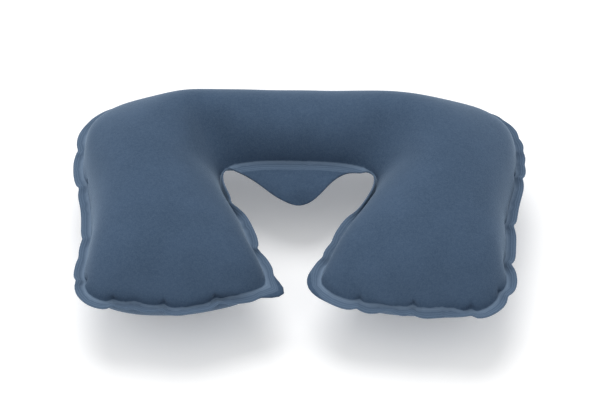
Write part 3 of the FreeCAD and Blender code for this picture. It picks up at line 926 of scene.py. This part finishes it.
def solid_piece(name, points, faces):
    """A smooth-shaded piece from points and faces, its faces turned outwards."""
    mesh = bpy.data.meshes.new(name)
    mesh.from_pydata([tuple(point) for point in points], [], faces)
    shape = bmesh.new()
    shape.from_mesh(mesh)
    bmesh.ops.recalc_face_normals(shape, faces=shape.faces)
    shape.to_mesh(mesh)
    shape.free()
    mesh.polygons.foreach_set("use_smooth", np.ones(len(mesh.polygons), bool))
    return new_object(name, mesh)


def make_web():
    """Thin dished cone between collar and stem, which turns inside out as the valve pops."""
    under = []
    for i in range(WEB_STEPS + 1):
        run = i / WEB_STEPS
        fall = smooth_step(0, 1, run) * WEB_DISH + (1 - WEB_DISH) * run
        under.append((WEB_OUTER + (WEB_INNER - WEB_OUTER) * run, WEB_TOP + (WEB_LOW - WEB_TOP) * fall))
    over = [(radius, height + WEB_WALL) for radius, height in under]
    over[0] = (WEB_OUTER, WEB_TOP + WEB_EDGE)
    return turned_shell("valve_membrane", under + over[::-1])


def make_strap():
    """Strap that ties the plug to the stem's lip: it winds part of the way round them."""
    points, faces = [], []
    for i in range(STRAP_STEPS + 1):
        share = i / STRAP_STEPS
        angle = STRAP_START + STRAP_TURN * share
        rise = smooth_step(STRAP_LEVEL, 1 - STRAP_LEVEL, share)
        middle = STRAP_LOW + (STRAP_HIGH - STRAP_LOW) * rise
        clear = smooth_step(0, STRAP_TUCK, share) * smooth_step(0, STRAP_TUCK, 1 - share)
        inner = STRAP_TUCKED + (STRAP_RADIUS - STRAP_TUCKED) * clear
        outer, half = inner + STRAP_THICK, STRAP_WIDE / 2
        for radius, height in ((inner, -half), (outer, -half), (outer, half), (inner, half)):
            points.append(on_valve(radius, angle, middle + height))
    for i in range(STRAP_STEPS):
        base = 4 * i
        faces += [(base + j, base + (j + 1) % 4, base + 4 + (j + 1) % 4, base + 4 + j) for j in range(4)]
    last = 4 * STRAP_STEPS
    faces += [(0, 1, 2, 3), (last, last + 3, last + 2, last + 1)]
    strap = solid_piece("plug_strap", points, faces)
    edge = strap.modifiers.new("edge", "BEVEL")
    edge.width = STRAP_EDGE
    edge.segments = 2
    finished(strap)
    return strap


def make_grips(material):
    """Finger ribs round the plug's cap, placed by a node tree, as one mesh in the row frame."""
    tree = bpy.data.node_groups.new("cap_ribs", "GeometryNodeTree")
    tree.interface.new_socket("Geometry", in_out="OUTPUT", socket_type="NodeSocketGeometry")
    sizes = {}
    for title, value in (("Radius", CAP_RADIUS), ("Rib", RIB_RADIUS), ("Height", RIB_HEIGHT)):
        socket = tree.interface.new_socket(title, in_out="INPUT", socket_type="NodeSocketFloat")
        sizes[socket.identifier] = value
    counted = tree.interface.new_socket("Count", in_out="INPUT", socket_type="NodeSocketInt")
    sizes[counted.identifier] = RIB_COUNT
    given, wanted = tree.nodes.new("NodeGroupInput"), tree.nodes.new("NodeGroupOutput")
    ring = add(tree, "GeometryNodeMeshCircle", {"Vertices": given.outputs["Count"],
                                                "Radius": given.outputs["Radius"]})
    rib = add(tree, "GeometryNodeMeshCylinder", {"Vertices": RIB_SIDES,
                                                 "Radius": given.outputs["Rib"],
                                                 "Depth": given.outputs["Height"]})
    placed_ribs = add(tree, "GeometryNodeInstanceOnPoints", {"Points": ring.outputs["Mesh"],
                                                             "Instance": rib.outputs["Mesh"]})
    real = add(tree, "GeometryNodeRealizeInstances", {"Geometry": placed_ribs.outputs["Instances"]})
    coated = add(tree, "GeometryNodeSetMaterial", {"Geometry": real.outputs["Geometry"],
                                                   "Material": material})
    tree.links.new(coated.outputs["Geometry"], wanted.inputs[0])
    ribs = new_object("plug_ribs", bpy.data.meshes.new("plug_ribs"))
    modifier = ribs.modifiers.new("ribs", "NODES")
    modifier.node_group = tree
    for identifier, value in sizes.items():
        modifier[identifier] = value
    finished(ribs)
    ribs.data.transform(VALVE @ Matrix.Translation((0, 0, CAP_MIDDLE)))
    return ribs


def refinish(node, material):
    """Give a CAD part its finish."""
    slots = frame["nodes"][node].data.materials
    slots.clear()
    slots.append(material)


# ---------------------------------------------------------------- the pieces

VALVE = valve_frame()
OUT = Vector(VALVE.col[2].xyz)
films = cut_films()
points = placed(eased(calmed(blown_up(films), films), films), films)
GRAIN = make_grain()
FLOCK = make_flock(GRAIN, make_weld_marks())
SOFT_PVC = make_moulding(GRAIN, "soft_vinyl", VINYL_DARK, VINYL_LIGHT, 0.36, specular_ior_level=0.5,
                         coat_weight=0.12, coat_roughness=0.3)
CLEAR_PVC = make_moulding(GRAIN, "clear_vinyl", CLEAR_DARK, CLEAR_LIGHT, 0.22, specular_ior_level=0.5,
                          transmission_weight=0.55)

off_hole = films["from_valve"][films["lower"]].mean(1) > HOLE_RINGS[0]
upper_film = film_piece("upper_film", points, films, films["upper"], 1)
lower_film = film_piece("lower_film", points, films, films["lower"][off_hole], -1)
for piece, node in ((upper_film, "upper_skin"), (lower_film, "lower_skin")):
    piece.data.materials.append(FLOCK)
    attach(piece, "pillow")
    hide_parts(node)

for node in ("valve_base", "valve_stem", "valve_plug"):
    refinish(node, SOFT_PVC)
refinish("non_return_flap", CLEAR_PVC)

membrane = make_web()
membrane.data.materials.append(SOFT_PVC)
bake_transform(membrane, "pillow", "valve", start=tuple(VALVE.translation + OUT * WEB_TOP),
         end=tuple(VALVE.translation + OUT * (WEB_LOW + WEB_WALL / 2)))
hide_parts("valve_web")

strap = make_strap()
strap.data.materials.append(SOFT_PVC)
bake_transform(strap, "valve", "plug", start=tuple(VALVE.translation + OUT * STRAP_LOW),
         end=tuple(VALVE.translation + OUT * STRAP_HIGH))
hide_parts("plug_tether")

ribs = make_grips(SOFT_PVC)
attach(ribs, "plug")


# ---------------------------------------------------------------- stage, light and camera

def sun_light(name, place, spread, strength):
    """A broad, soft light that shines from the side of place on everything alike."""
    lamp = bpy.data.lights.new(name, "SUN")
    lamp.angle = math.radians(spread)
    lamp.energy = strength
    light = bpy.data.objects.new(name, lamp)
    light.rotation_euler = Vector(place).to_track_quat("Z", "Y").to_euler()
    bpy.context.scene.collection.objects.link(light)


def make_stage():
    """Plain pale floor, white surroundings and two soft lights."""
    half = FLOOR_HALF
    corners = [(-half, -half, 0), (half, -half, 0), (half, half, 0), (-half, half, 0)]
    mesh = bpy.data.meshes.new("floor")
    mesh.from_pydata(corners, [], [(0, 1, 2, 3)])
    floor = new_object("floor", mesh)
    material = bpy.data.materials.new("pale_floor")
    material.use_nodes = True
    paint = material.node_tree.nodes["Principled BSDF"].inputs
    paint["Base Color"].default_value = (0.9, 0.9, 0.9, 1)
    paint["Roughness"].default_value = 0.9
    paint["Emission Color"].default_value = (1, 1, 1, 1)
    paint["Emission Strength"].default_value = FLOOR_GLOW
    mesh.materials.append(material)
    floor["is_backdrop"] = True
    world = bpy.data.worlds.new("studio")
    world.use_nodes = True
    sky = world.node_tree.nodes["Background"].inputs
    sky["Color"].default_value = (1, 1, 1, 1)
    sky["Strength"].default_value = STUDIO_LIGHT
    bpy.context.scene.world = world
    bpy.context.scene.view_settings.view_transform = "Standard"
    sun_light("key", place=(-0.12, 0.62, 1.0), spread=40, strength=1.5)
    sun_light("fill", place=(-0.9, -0.1, 0.7), spread=60, strength=0.35)


def make_camera():
    """Camera before the pillow and above it, aimed near its middle."""
    low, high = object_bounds()
    aim = (low + high) / 2 + VIEW_SHIFT
    angle, turn = math.radians(VIEW_ELEVATION), math.radians(VIEW_TURN)
    back = Vector((math.sin(turn) * math.cos(angle), -math.cos(turn) * math.cos(angle), math.sin(angle)))
    lens = bpy.data.cameras.new("camera")
    lens.sensor_width = SENSOR
    lens.lens = SENSOR * VIEW_FILLED * VIEW_DISTANCE / VIEW_WIDTH
    camera = bpy.data.objects.new("camera", lens)
    camera.location = aim + back * VIEW_DISTANCE
    camera.rotation_euler = (-back).to_track_quat("-Z", "Y").to_euler()
    bpy.context.scene.collection.objects.link(camera)
    bpy.context.scene.camera = camera


make_stage()
make_camera()
